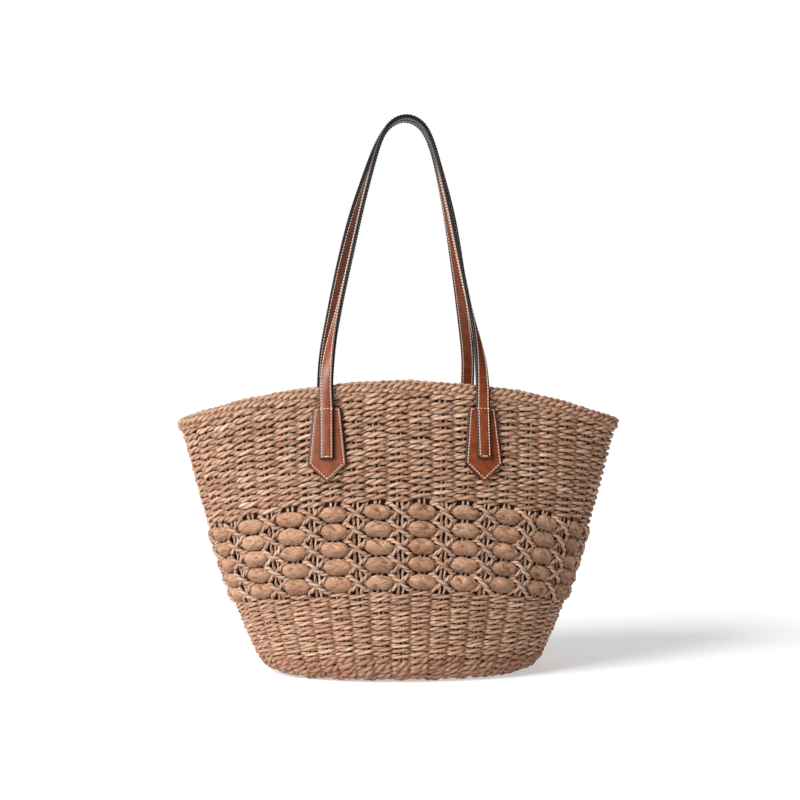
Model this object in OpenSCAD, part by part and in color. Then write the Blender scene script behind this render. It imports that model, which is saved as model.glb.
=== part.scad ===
// Woven straw beach bag: an oval basket with an open-work band, a fabric lining
// and two flat leather handles that swing on sewn leather tabs.
// Origin: middle of the footprint, on the ground. +Z is up and -Y is the front.

/* [Basket] */
// Width of the mouth, end to end
mouth_width = 456; // [420:4:480]
// Depth of the mouth, front to back
mouth_depth = 128; // [116:4:140]
// Height of the rim at the middle of the front
rim_height = 298; // [280:1:310]
// How far the rim and the rows below it dip at the two ends
end_dip = 39; // [30:1:42]
// Width of the body above its rounded bottom edge
foot_width = 272; // [260:4:300]
// Depth of the body above its rounded bottom edge
foot_depth = 192; // [180:2:200]
// How far the belly swells at the front and at the back
belly = 10; // [4:1:12]
// Radius of the rounded bottom edge
foot_radius = 18; // [16:1:30]
// Thickness of the woven wall and base
wall = 5; // [4.5:0.5:5.5]
// Height of the scalloped border round the base
border_height = 25; // [20:1:28]
// Height of the braided rim
rim_braid_height = 15; // [13:1:17]
// How far the braided rim stands out from the wall
rim_proud = 2.2; // [1:0.1:2.4]

/* [Open-work band] */
// Height of the middle of the lowest open-work row
first_row_height = 99.5; // [98:0.5:101]
// Distance from one open-work row to the next
row_pitch = 17.2; // [17:0.1:17.6]
// Number of puffed straw bundles in a row
bundles = 22; // [20:1:24]
// How far the bundles and uprights are moved round the basket from the middle of the front, in bundles
pattern_shift = -0.15; // [-0.3:0.05:0.3]
// Length of a bundle
bundle_length = 28; // [26:1:31]
// Height of a bundle
bundle_height = 15; // [13:0.5:16]
// How far a bundle stands out from the wall
bundle_proud = 3.2; // [3:0.2:5]
// Number of paired uprights behind each bundle and the gap next to it
stakes_per_bundle = 2; // [1:1:3]
// Width of a pair of uprights
stake_width = 7.5; // [5:0.5:8]
// Thickness of the uprights
stake_thickness = 2; // [1.5:0.1:2]

/* [Lining] */
// Thickness of the lining fabric
lining_thickness = 1.2; // [1:0.1:1.5]
// Gap between the wall and the lining
lining_gap = 0.6; // [0.5:0.1:0.8]
// Width of the inner pocket, as an angle round the basket
pocket_angle = 60; // [45:15:60]
// Diameter of the magnetic snap
snap_diameter = 18; // [14:1:20]

/* [Leather] */
// Distance between the two legs of a handle
leg_spacing = 154; // [140:2:170]
// Height of the top of the handles above the ground
handle_top = 571; // [540:1:590]
// Sideways shift of the top of the handles
handle_shift = 6; // [0:1:8]
// How much wider the back handle's arch is than the front one's, halfway up and on each side
arch_difference = 6.5; // [0:0.5:8]
// Width of the straps
strap_width = 14; // [12:0.5:16]
// Thickness of the outer leather of the straps
strap_outer_thickness = 2; // [1.6:0.1:2.2]
// Thickness of the leather that backs the straps
strap_backing_thickness = 1.6; // [1.2:0.1:1.8]
// Gap between the two handles where they meet
handle_gap = 0.8; // [0.6:0.1:1.5]
// Width of a tab at its top
tab_top_width = 28; // [24:1:30]
// Width of a tab at its two lower corners
tab_corner_width = 39; // [32:1:40]
// Thickness of the tabs
tab_thickness = 2.5; // [2:0.1:2.6]

/* [Hidden] */

straw = [0.78, 0.62, 0.48];
straw_shade = [0.70, 0.53, 0.40];
leather = [0.62, 0.31, 0.17];
leather_dark = [0.45, 0.20, 0.11];
brown_fabric = [0.36, 0.25, 0.18];
cream_thread = [0.93, 0.88, 0.80];
nickel = [0.80, 0.80, 0.78];

// Joints between pieces that meet edge to edge
seam = 0.15;
// Clearance between pieces that lie face to face
lay_gap = 0.3;
// Clearance where a flat piece lies on the curved lining
lining_lay_gap = 0.6;
// Clearance at the middle of a snap half, whose rim comes closest to the lining
snap_lay_gap = 1;
// Layer of glue between the two leathers of a strap
glue_line = 0.05;
// Number of stations round the basket
ring_steps = 48;

// Levels are fractions of the rim's height, measured up the middle of the front.
border_level = border_height / rim_height;
band_bottom_level = (first_row_height - row_pitch / 2 - 1) / rim_height;
band_top_level = (first_row_height + 4.5 * row_pitch + 2) / rim_height;
rim_bottom_level = (rim_height - rim_braid_height) / rim_height;
seam_level = seam / rim_height;
tab_top_level = 0.918;
tab_tip_level = 0.67;
strap_end_level = 0.747;
snap_level = 0.9;

// ---- Shape of the basket ----

function corner_pull(level) =
    let (h = level * rim_height)
    h >= foot_radius ? 0 : foot_radius - sqrt(pow(foot_radius, 2) - pow(foot_radius - h, 2));
function half_width(level) =
    foot_width / 2 + (mouth_width - foot_width) / 2 * pow(level, 0.82) - corner_pull(level);
function half_depth(level) =
    foot_depth / 2 + (mouth_depth - foot_depth) / 2 * pow(level, 2)
    + belly * sin(180 * level) - corner_pull(level);
// Below 1 the oval has a flattened front and back, and above 1 its two ends are pointed
function end_point_power(level) = 0.8 + 0.35 * pow(level, 3);
function dip(level) = end_dip * (1 - pow(1 - min(level, 1), 2.2));
function dip_share(turn, level) =
    let (mix = 0.5 + 0.5 * pow(level, 2), side = asin(min(1, abs(sin(turn)))) / 90)
    pow(mix * abs(sin(turn)) + (1 - mix) * side, 2);
// Inner surfaces rise over the rounded bottom edge, so that the wall keeps its thickness
function foot_lift(level, thickness) = thickness * max(0, 1 - level * rim_height / foot_radius);

// A point of the basket: turn 0 is the middle of the front and 90 the right end
function basket_point(turn, level, inset = 0, lift = 0) =
    let (c = cos(turn), power = end_point_power(level))
    [(half_width(level) - inset) * sin(turn),
     -(half_depth(level) - inset) * sign(c) * pow(abs(c), power),
     level * rim_height - dip(level) * dip_share(turn, level) + lift];

function unit(v) = v / norm(v);
function basket_normal(turn, level) =
    unit(cross(basket_point(turn + 1, level) - basket_point(turn - 1, level),
               basket_point(turn, level + 0.005) - basket_point(turn, level - 0.005)));

// ---- Solids swept round the basket ----

// Triangles between successive stations of a sweep, each with the same number of points
function side_faces(stations, count, closed) =
    [for (i = [0 : stations - (closed ? 1 : 2)])
        for (j = [0 : count - 1])
            let (k = (i + 1) % stations, m = (j + 1) % count)
            each [[i * count + j, i * count + m, k * count + m],
                  [i * count + j, k * count + m, k * count + j]]];
// The same for four points a station. Both broad faces are split along the same diagonal,
// so that one strip lies on another even where the two of them twist.
function strip_faces(stations) =
    [for (i = [0 : stations - 2])
        for (j = [0 : 3])
            let (a = i * 4 + j, b = i * 4 + (j + 1) % 4, c = a + 4, d = b + 4)
            each j == 2 ? [[a, b, c], [b, d, c]] : [[a, b, d], [a, d, c]]];
function first_cap(count) = [for (j = [count - 1 : -1 : 0]) j];
function last_cap(stations, count) = [for (j = [0 : count - 1]) (stations - 1) * count + j];

// A hoop whose cross-section is a list of [level, inset, lift]
module hoop(section) {
    points = [for (i = [0 : ring_steps - 1]) for (p = section)
        basket_point(i * 360 / ring_steps, p[0], p[1], p[2])];
    polyhedron(points, side_faces(ring_steps, len(section), true), convexity = 10);
}

function levels_up(low, high, count) = [for (i = [0 : count]) low + (high - low) * i / count];
function backwards(list) = [for (i = [len(list) - 1 : -1 : 0]) list[i]];

// A stretch of woven wall between two levels
module wall_hoop(low, high, count) {
    up = levels_up(low + seam_level, high, count);
    hoop(concat([for (v = up) [v, 0, foot_lift(v, 0)]],
                [for (v = backwards(up)) [v, wall, foot_lift(v, wall)]]));
}

module base_weave() {
    color(straw_shade)
        linear_extrude(height = wall)
            polygon([for (i = [0 : ring_steps - 1])
                let (p = basket_point(i * 360 / ring_steps, 0, wall + seam)) [p.x, p.y]]);
}

module base_border() {
    // Levels crowd together where the rounded edge is flattest
    up = [for (i = [0 : 5]) border_level * pow(i / 5, 2)];
    color(straw)
        hoop(concat([for (v = up) [v, 0, 0]],
                    [for (v = backwards(up)) [v, wall, foot_lift(v, wall)]],
                    [[0, wall, 0]]));
}

module lower_wall() {
    color(straw) wall_hoop(border_level, band_bottom_level, 4);
}

module upper_wall() {
    color(straw) wall_hoop(band_top_level, rim_bottom_level, 6);
}

module rim_braid() {
    half_height = (rim_braid_height - seam) / 2;
    middle = rim_height - half_height;
    half_thickness = (wall + 2 * rim_proud + 0.6) / 2;
    middle_inset = half_thickness - rim_proud;
    color(straw)
        hoop([for (i = [0 : 9])
            let (a = -90 - i * 36)
            [(middle + half_height * sin(a)) / rim_height, middle_inset - half_thickness * -cos(a), 0]]);
}

// ---- Open-work band ----

// Turn at each of a number of equal steps along the outline of a level
function outline_lengths(level, steps) =
    let (p = [for (i = [0 : steps]) basket_point(i * 90 / steps, level)])
    [for (i = 0, sum = 0; i <= steps; sum = sum + (i < steps ? norm(p[i + 1] - p[i]) : 0), i = i + 1) sum];
function quarter_table(level, steps = 30) =
    let (lengths = outline_lengths(level, steps))
    [for (i = [0 : steps]) [lengths[i] / lengths[steps], i * 90 / steps]];
// Share 0 to 1 goes once round the basket, from the middle of the front
function turn_at(share, table) =
    let (quarters = 4 * (share - floor(share)), q = floor(quarters), f = quarters - q)
    q % 2 == 0 ? 90 * q + lookup(f, table) : 90 * (q + 1) - lookup(1 - f, table);
function outline_length(level) = let (l = outline_lengths(level, 30)) 4 * l[30];

// One row: puffed bundles on a waisted cord that runs right round the basket
module openwork_row(index) {
    level = (first_row_height + (index - 1) * row_pitch) / rim_height;
    table = quarter_table(level);
    pitch = outline_length(level) / bundles;
    half_share = bundle_length / pitch / 2;
    // Place along the pitch, and how full the row is there
    fullness = [[-half_share, 0.55], [-half_share * 0.6, 0.94], [half_share * 0.6, 0.94], [half_share, 0.55],
                [0.5, 0.3]];
    inner_inset = wall - stake_thickness - lay_gap;
    thickness = inner_inset + bundle_proud;
    points = [for (b = [0 : bundles - 1]) for (f = fullness)
        let (turn = turn_at((b + f[0] + 0.5 + pattern_shift) / bundles, table))
        for (i = [0 : 5])
            let (a = -90 - i * 60,
                 half_thickness = thickness / 2 * f[1],
                 inset = inner_inset - half_thickness + half_thickness * cos(a))
            basket_point(turn, level + bundle_height / 2 * f[1] * sin(a) / rim_height, inset)];
    color(straw)
        polyhedron(points, side_faces(bundles * len(fullness), 6, true), convexity = 10);
}

module openwork_row_1() { openwork_row(1); }
module openwork_row_2() { openwork_row(2); }
module openwork_row_3() { openwork_row(3); }
module openwork_row_4() { openwork_row(4); }
module openwork_row_5() { openwork_row(5); }

module upright_stakes() {
    levels = levels_up(band_bottom_level + 2 * seam_level, band_top_level, 2);
    tables = [for (v = levels) quarter_table(v)];
    stake_pairs = bundles * stakes_per_bundle;
    color(straw_shade)
        for (s = [0 : stake_pairs - 1]) {
            middle = s / stake_pairs + pattern_shift / bundles;
            points = [for (k = [0 : 2])
                let (half = stake_width / 2 / outline_length(levels[k]))
                for (corner = [[-1, wall], [1, wall], [1, wall - stake_thickness], [-1, wall - stake_thickness]])
                    basket_point(turn_at(middle + corner[0] * half, tables[k]), levels[k], corner[1])];
            polyhedron(points, concat(side_faces(3, 4, false), [first_cap(4), last_cap(3, 4)]), convexity = 4);
        }
}

// ---- Lining and what is sewn to it ----

lining_inset = wall + lining_gap;

module lining() {
    up = [for (i = [0 : 9]) (rim_bottom_level - 2 * seam_level) * pow(i / 9, 1.4)];
    inner_inset = lining_inset + lining_thickness;
    rings = concat([for (v = up) [v, lining_inset, foot_lift(v, lining_inset)]],
                   [for (v = backwards(up)) [v, inner_inset, foot_lift(v, inner_inset)]]);
    points = [for (p = rings) for (i = [0 : ring_steps - 1])
        basket_point(-i * 360 / ring_steps, p[0], p[1], p[2])];
    color(brown_fabric)
        polyhedron(points, concat(side_faces(len(rings), ring_steps, false),
            [first_cap(ring_steps), last_cap(len(rings), ring_steps)]), convexity = 10);
}

module inner_pocket() {
    outer_inset = lining_inset + lining_thickness + lining_lay_gap;
    steps = pocket_angle / 360 * ring_steps;
    points = [for (i = [0 : steps])
        let (turn = 180 + pocket_angle * (i / steps - 0.5))
        for (corner = [[0.42, 0], [0.62, 0], [0.8, 0], [0.8, 1], [0.62, 1], [0.42, 1]])
            basket_point(turn, corner[0], outer_inset + corner[1] * lining_thickness)];
    // The ends are split into triangles because their corners aren't in one plane
    fan = [[0, 1, 4], [0, 4, 5], [1, 2, 3], [1, 3, 4]];
    color(brown_fabric)
        polyhedron(points, concat(side_faces(steps + 1, 6, false),
            [for (f = fan) [f[2], f[1], f[0]]], [for (f = fan) f + [1, 1, 1] * 6 * steps]), convexity = 6);
}

// Puts a snap half on the lining at the middle of the front, facing into the bag
module on_front_lining() {
    place = basket_point(0, snap_level, lining_inset + lining_thickness + snap_lay_gap);
    normal = basket_normal(0, snap_level);
    translate(place) rotate([-90 - atan2(normal.z, -normal.y), 0, 0]) children();
}

module snap_stud() {
    color(nickel)
        on_front_lining() {
            cylinder(h = 2, d = snap_diameter, $fn = 48);
            translate([0, 0, 1.5]) cylinder(h = 2.5, d = snap_diameter / 3, $fn = 32);
        }
}

module snap_socket() {
    color(nickel)
        mirror([0, 1, 0]) on_front_lining() difference() {
            cylinder(h = 3.5, d = snap_diameter, $fn = 48);
            translate([0, 0, 1]) cylinder(h = 3, d = snap_diameter / 3 + 0.6, $fn = 32);
        }
}

// ---- Leather ----

outer_low = strap_backing_thickness + glue_line;
strap_thickness = outer_low + strap_outer_thickness;
strap_seat = lay_gap + tab_thickness + lay_gap;

function level_turn(x, level) = asin(x / half_width(level));
function leg_point(level) = basket_point(level_turn(leg_spacing / 2, level), level);
function leg_normal(level) = basket_normal(level_turn(leg_spacing / 2, level), level);

// A flat strip on a path: each station is [place, tangent, normal, half width],
// and the strip fills the space from low to high along the normal.
module strip(stations, low, high) {
    count = len(stations);
    points = [for (s = stations)
        let (side = unit(cross(s[1], s[2])) * s[3])
        for (corner = [[-1, low], [1, low], [1, high], [-1, high]])
            s[0] + side * corner[0] + s[2] * corner[1]];
    polyhedron(points, concat(strip_faces(count), [first_cap(4), last_cap(count, 4)]), convexity = 10);
}

// Stations down the wall from one level to another, at the right leg of the front handle
function leg_stations(top, bottom, widths) =
    let (count = len(widths))
    [for (w = widths)
        let (level = top + (bottom - top) * w[0], step = 0.004)
        [leg_point(level), unit(leg_point(level - step) - leg_point(level + step)), leg_normal(level), w[1]]];

module right_tab() {
    corner = 0.76;
    straight = [for (i = [0 : 5])
        [corner * i / 5, (tab_top_width + (tab_corner_width - tab_top_width) * i / 5) / 2]];
    color(leather)
        strip(leg_stations(tab_top_level, tab_tip_level, concat(straight, [[1, 1]])),
            lay_gap, lay_gap + tab_thickness);
}

module right_strap_end() {
    color(leather)
        strip(leg_stations(tab_top_level, strap_end_level, [for (i = [0 : 4]) [i / 4, strap_width / 2]]),
            strap_seat, strap_seat + strap_thickness);
}

module front_right_tab() { right_tab(); }
module front_left_tab() { mirror([1, 0, 0]) right_tab(); }
module back_right_tab() { mirror([0, 1, 0]) right_tab(); }
module back_left_tab() { mirror([0, 1, 0]) mirror([1, 0, 0]) right_tab(); }
module front_right_strap_end() { right_strap_end(); }
module front_left_strap_end() { mirror([1, 0, 0]) right_strap_end(); }
module back_right_strap_end() { mirror([0, 1, 0]) right_strap_end(); }
module back_left_strap_end() { mirror([0, 1, 0]) mirror([1, 0, 0]) right_strap_end(); }

// The stitches that hold one tab: down both edges and along the point
module right_tab_stitches() {
    stitch = [2.6, 0.9, 0.8];
    margin = 2.6;
    for (side = [-1, 1]) {
        for (i = [0 : 12]) {
            share = 0.04 + 0.7 * i / 12;
            half = (tab_top_width + (tab_corner_width - tab_top_width) * share / 0.76) / 2 - margin;
            on_tab(share, side * half, 0) cube(stitch, center = true);
        }
        for (i = [1 : 4]) {
            share = 0.76 + 0.19 * i / 4;
            half = (tab_corner_width / 2 - margin) * (0.96 - share) / 0.2;
            on_tab(share, side * half, side * 42) cube(stitch, center = true);
        }
    }
}

// Puts a stitch on a tab's face: its length runs down the tab, turned by the angle
module on_tab(share, across, angle) {
    level = tab_top_level + (tab_tip_level - tab_top_level) * share;
    down = unit(leg_point(level - 0.004) - leg_point(level + 0.004));
    normal = leg_normal(level);
    side = unit(cross(down, normal));
    place = leg_point(level) + normal * (lay_gap + tab_thickness + 0.45) + side * across;
    multmatrix([[down.x, side.x, normal.x, place.x],
                [down.y, side.y, normal.y, place.y],
                [down.z, side.z, normal.z, place.z],
                [0, 0, 0, 1]])
        rotate([0, 0, angle]) children();
}

module tab_stitches() {
    color(cream_thread) {
        right_tab_stitches();
        mirror([1, 0, 0]) right_tab_stitches();
        mirror([0, 1, 0]) right_tab_stitches();
        mirror([0, 1, 0]) mirror([1, 0, 0]) right_tab_stitches();
    }
}

// ---- Handles ----

// Middle of the strap's back face where it leaves the tab, and where it passes the rim
handle_foot = leg_point(tab_top_level) + leg_normal(tab_top_level) * strap_seat;
handle_rim = leg_point(0.995) + leg_normal(0.995) * (strap_seat + 0.4);
leg_yaw = atan2(leg_normal(tab_top_level).x, -leg_normal(tab_top_level).y);
handle_rise = handle_top - strap_thickness - handle_rim.z;
half_handle_gap = (strap_width + handle_gap) / 2;

// Shares of the rise, of the half spacing and of the lean, from the rim to the top
arch_shares = [[0.12, 0.965, 0.86], [0.28, 0.86, 0.68], [0.46, 0.735, 0.5], [0.64, 0.6, 0.33],
               [0.79, 0.465, 0.19], [0.89, 0.36, 0.09], [0.955, 0.255, 0.03], [0.988, 0.14, 0], [1, 0, 0]];
function arch_point(share, side, widening) =
    [side * (handle_rim.x * share[1] + widening * sin(180 * share[0])) + handle_shift * share[0],
     -(half_handle_gap + (-handle_rim.y - half_handle_gap) * share[2]),
     handle_rim.z + handle_rise * share[0]];
foot_step = unit(handle_rim - handle_foot) * 0.3;
right_feet = [handle_rim, handle_foot + foot_step];
left_feet = [for (p = backwards(right_feet)) [-p.x, p.y, p.z]];
function arch_route(widening) = concat(
    left_feet,
    [for (s = arch_shares) arch_point(s, -1, widening)],
    [for (i = [len(arch_shares) - 2 : -1 : 0]) arch_point(arch_shares[i], 1, widening)],
    right_feet);

// Smooth curve through the route's points
function curve_point(a, b, c, d, t) =
    0.5 * ((2 * b) + (c - a) * t + (2 * a - 5 * b + 4 * c - d) * t * t + (3 * b - a - 3 * c + d) * t * t * t);
function smooth_route(route, steps) =
    let (last = len(route) - 1, padded = concat([2 * route[0] - route[1]], route, [2 * route[last] - route[last - 1]]))
    concat([for (i = [0 : last - 1]) for (k = [0 : steps - 1])
        curve_point(padded[i], padded[i + 1], padded[i + 2], padded[i + 3], k / steps)], [route[last]]);

function lengths_along(path) =
    [for (i = 0, sum = 0; i < len(path); sum = sum + (i < len(path) - 1 ? norm(path[i + 1] - path[i]) : 0),
        i = i + 1) sum];

// The strap lies flat on the tab and twists by a quarter turn to lie flat over the top.
// twist_length sets how soon it turns, and twist_power how suddenly.
function handle_stations(twist_length, twist_power, widening) =
    let (path = smooth_route(arch_route(widening), 3), lengths = lengths_along(path), last = len(path) - 1)
    [for (i = [0 : last])
        let (tangent = unit(path[min(i + 1, last)] - path[max(i - 1, 0)]),
             from_foot = min(lengths[i], lengths[last] - lengths[i]),
             twist = leg_yaw + (90 - leg_yaw) * (1 - exp(-pow(from_foot / twist_length, twist_power))),
             arch_normal = unit(cross(tangent, [0, 1, 0])),
             flat_normal = cross(tangent, arch_normal))
        [path[i], tangent, flat_normal * cos(twist) + arch_normal * sin(twist), strap_width / 2]];

front_stations = handle_stations(70, 2, -arch_difference / 2);
back_stations = handle_stations(235, 4, arch_difference / 2);

module front_strap() {
    color(leather) strip(front_stations, outer_low, strap_thickness);
}
module front_strap_backing() {
    color(leather_dark) strip(front_stations, 0, strap_backing_thickness);
}
module back_strap() {
    color(leather) mirror([0, 1, 0])
        strip(back_stations, outer_low, strap_thickness);
}
module back_strap_backing() {
    color(leather_dark) mirror([0, 1, 0])
        strip(back_stations, 0, strap_backing_thickness);
}

base_weave();
base_border();
lower_wall();
openwork_row_1();
openwork_row_2();
openwork_row_3();
openwork_row_4();
openwork_row_5();
upright_stakes();
upper_wall();
rim_braid();
lining();
inner_pocket();
snap_stud();
snap_socket();
front_left_tab();
front_right_tab();
back_left_tab();
back_right_tab();
front_left_strap_end();
front_right_strap_end();
back_left_strap_end();
back_right_strap_end();
tab_stitches();
front_strap();
front_strap_backing();
back_strap();
back_strap_backing();
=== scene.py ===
"""A woven straw beach bag: an oval basket of corded paper straw with an open-work band, a fabric lining
and two stitched leather handles. The CAD model gives the frame, and every piece here stands for its nodes."""

import math

import bpy
import numpy as np
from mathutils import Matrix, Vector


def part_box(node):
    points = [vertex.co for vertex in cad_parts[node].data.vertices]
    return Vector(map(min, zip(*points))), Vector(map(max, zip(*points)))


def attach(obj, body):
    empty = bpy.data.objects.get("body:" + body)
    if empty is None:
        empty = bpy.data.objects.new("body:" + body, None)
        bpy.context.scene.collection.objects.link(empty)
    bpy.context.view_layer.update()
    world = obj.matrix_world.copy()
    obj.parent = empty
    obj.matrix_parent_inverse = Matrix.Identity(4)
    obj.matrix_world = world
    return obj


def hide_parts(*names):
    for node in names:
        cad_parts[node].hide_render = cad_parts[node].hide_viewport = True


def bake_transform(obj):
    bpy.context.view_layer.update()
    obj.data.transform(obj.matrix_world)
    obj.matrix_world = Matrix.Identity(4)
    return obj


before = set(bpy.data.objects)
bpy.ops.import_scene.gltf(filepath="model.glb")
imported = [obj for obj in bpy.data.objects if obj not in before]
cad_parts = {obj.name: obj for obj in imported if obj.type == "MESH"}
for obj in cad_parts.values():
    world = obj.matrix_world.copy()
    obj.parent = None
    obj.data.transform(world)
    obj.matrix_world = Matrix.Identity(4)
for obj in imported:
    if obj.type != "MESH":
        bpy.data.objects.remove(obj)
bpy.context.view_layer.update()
rng = np.random.default_rng(11)
MM = 0.001

# ---- Sizes of the basket, as the CAD model has them ----

rim_low, rim_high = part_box("rim_braid")
HEIGHT = rim_high.z
MOUTH_HALF_WIDTH = rim_high.x - 0.65 * MM
MOUTH_HALF_DEPTH = 64 * MM
FOOT_HALF_WIDTH = 136 * MM
FOOT_HALF_DEPTH = 96 * MM
BELLY = 10 * MM
END_DIP = 39 * MM
FOOT_RADIUS = 18 * MM
FLARE_POWER = 0.82
DIP_POWER = 2.2
LINING_INSET = 5.6 * MM
LINING_THICKNESS = 1.2 * MM

# Heights where one kind of weave gives way to the next, at the middle of the front
BORDER_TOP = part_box("base_border")[1].z
BAND_BOTTOM = 89.9 * MM
BAND_TOP = 178.9 * MM
WALE_BOTTOM = 266 * MM
RIM_BOTTOM = HEIGHT - 15 * MM

BUNDLES = 22
COLUMNS = 2 * BUNDLES
PATTERN_SHIFT = -0.15 / BUNDLES
BAND_ROWS = 5
FIRST_ROW = 99.5 * MM
ROW_PITCH = 17.2 * MM


# ---- Shape of the basket ----

def unit(vectors):
    return vectors / np.maximum(np.linalg.norm(vectors, axis=-1, keepdims=True), 1e-12)


def smooth(low, high, value):
    share = np.clip((value - low) / (high - low), 0, 1)
    return share * share * (3 - 2 * share)


def half_sizes(level):
    """Half the width and half the depth at a level, which is 0 at the ground and 1 at the rim."""
    level = np.maximum(level, 0)
    below_edge = np.minimum(np.maximum(FOOT_RADIUS - level * HEIGHT, 0), FOOT_RADIUS)
    tuck = FOOT_RADIUS - np.sqrt(FOOT_RADIUS**2 - below_edge**2)
    width = FOOT_HALF_WIDTH + (MOUTH_HALF_WIDTH - FOOT_HALF_WIDTH) * level**FLARE_POWER - tuck
    depth = FOOT_HALF_DEPTH + (MOUTH_HALF_DEPTH - FOOT_HALF_DEPTH) * level**2
    return width, depth + BELLY * np.sin(np.pi * level) - tuck


def basket_point(turn, level, inset=0.0):
    """A point of the outer wall. turn is 0 at the middle of the front and a quarter turn at the right end."""
    across, along = np.sin(turn), np.cos(turn)
    width, depth = half_sizes(level)
    mix = 0.5 + 0.5 * level**2
    end_share = (mix * abs(across) + (1 - mix) * np.arcsin(np.minimum(1, abs(across))) * 2 / np.pi) ** 2
    dip = END_DIP * (1 - (1 - np.clip(level, 0, 1)) ** DIP_POWER)
    x = (width - inset) * across
    y = -(depth - inset) * np.sign(along) * abs(along) ** (0.8 + 0.35 * np.maximum(level, 0) ** 3)
    z = level * HEIGHT - dip * end_share
    return np.stack(np.broadcast_arrays(x, y, z), -1)


TABLE_TURNS = np.linspace(0, 2 * np.pi, 2881)
TABLE_LEVELS = np.linspace(0, 1.03, 52)
TABLE_SHARES = np.linspace(0, 1, 1441)


def turns_by_length(level):
    points = basket_point(TABLE_TURNS, level)
    lengths = np.concatenate([[0], np.cumsum(np.linalg.norm(np.diff(points, axis=0), axis=1))])
    return np.interp(TABLE_SHARES, lengths / lengths[-1], TABLE_TURNS)


TURN_TABLE = np.array([turns_by_length(level) for level in TABLE_LEVELS])


def turn_at(share, level):
    """The turn at a share of the way round, measured along the wall at that level."""
    share, level = np.broadcast_arrays(np.asarray(share, float), np.asarray(level, float))
    whole = np.floor(share)
    column = (share - whole) * (len(TABLE_SHARES) - 1)
    row = np.clip(level / TABLE_LEVELS[-1], 0, 1) * (len(TABLE_LEVELS) - 1)
    j = np.minimum(column.astype(int), len(TABLE_SHARES) - 2)
    i = np.minimum(row.astype(int), len(TABLE_LEVELS) - 2)
    f, g = row - i, column - j
    low = TURN_TABLE[i, j] * (1 - g) + TURN_TABLE[i, j + 1] * g
    high = TURN_TABLE[i + 1, j] * (1 - g) + TURN_TABLE[i + 1, j + 1] * g
    return low * (1 - f) + high * f + 2 * np.pi * whole


def turn_frame(turn, level, out=0.0):
    """Points that stand out from the wall by out, and the directions along, up and out of the wall there."""
    turn, level, out = np.broadcast_arrays(turn, level, out)
    along = basket_point(turn + 0.01, level) - basket_point(turn - 0.01, level)
    rise = basket_point(turn, level + 0.004) - basket_point(turn, level - 0.004)
    outward = unit(np.cross(along, rise))
    along = unit(along)
    return basket_point(turn, level) + outward * out[..., None], along, np.cross(outward, along), outward


EDGE_ARC = FOOT_RADIUS * np.pi / 2


def level_at(arc):
    """Level at a length measured up the wall from the ground, round the bottom edge."""
    angle = np.clip(arc, 0, EDGE_ARC) / FOOT_RADIUS
    return (FOOT_RADIUS * (1 - np.cos(angle)) + np.maximum(arc - EDGE_ARC, 0)) / HEIGHT


def arc_at(height):
    """The opposite, for a height above the bottom edge."""
    return height - FOOT_RADIUS + EDGE_ARC


def skin(share, arc, out=0.0):
    """A frame on the basket's outside at a length up the wall. A negative arc is a way in under the base."""
    share, arc, out = np.broadcast_arrays(share + PATTERN_SHIFT, arc, out)
    level = level_at(arc)
    turn = turn_at(share, level)
    place, along, up, outward = turn_frame(turn, level, out)
    below = (arc < 0)[..., None]
    flat = basket_point(turn, 0 * level, -np.minimum(arc, 0))
    down = np.array([0, 0, -1.0])
    flat_up = unit(np.cross(down, along))
    return (np.where(below, flat + down * out[..., None], place), along,
            np.where(below, flat_up, up), np.where(below, down, outward))


def girth(level):
    points = basket_point(TABLE_TURNS, level)
    return np.linalg.norm(np.diff(points, axis=0), axis=1).sum()


# ---- Mesh making ----

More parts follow.
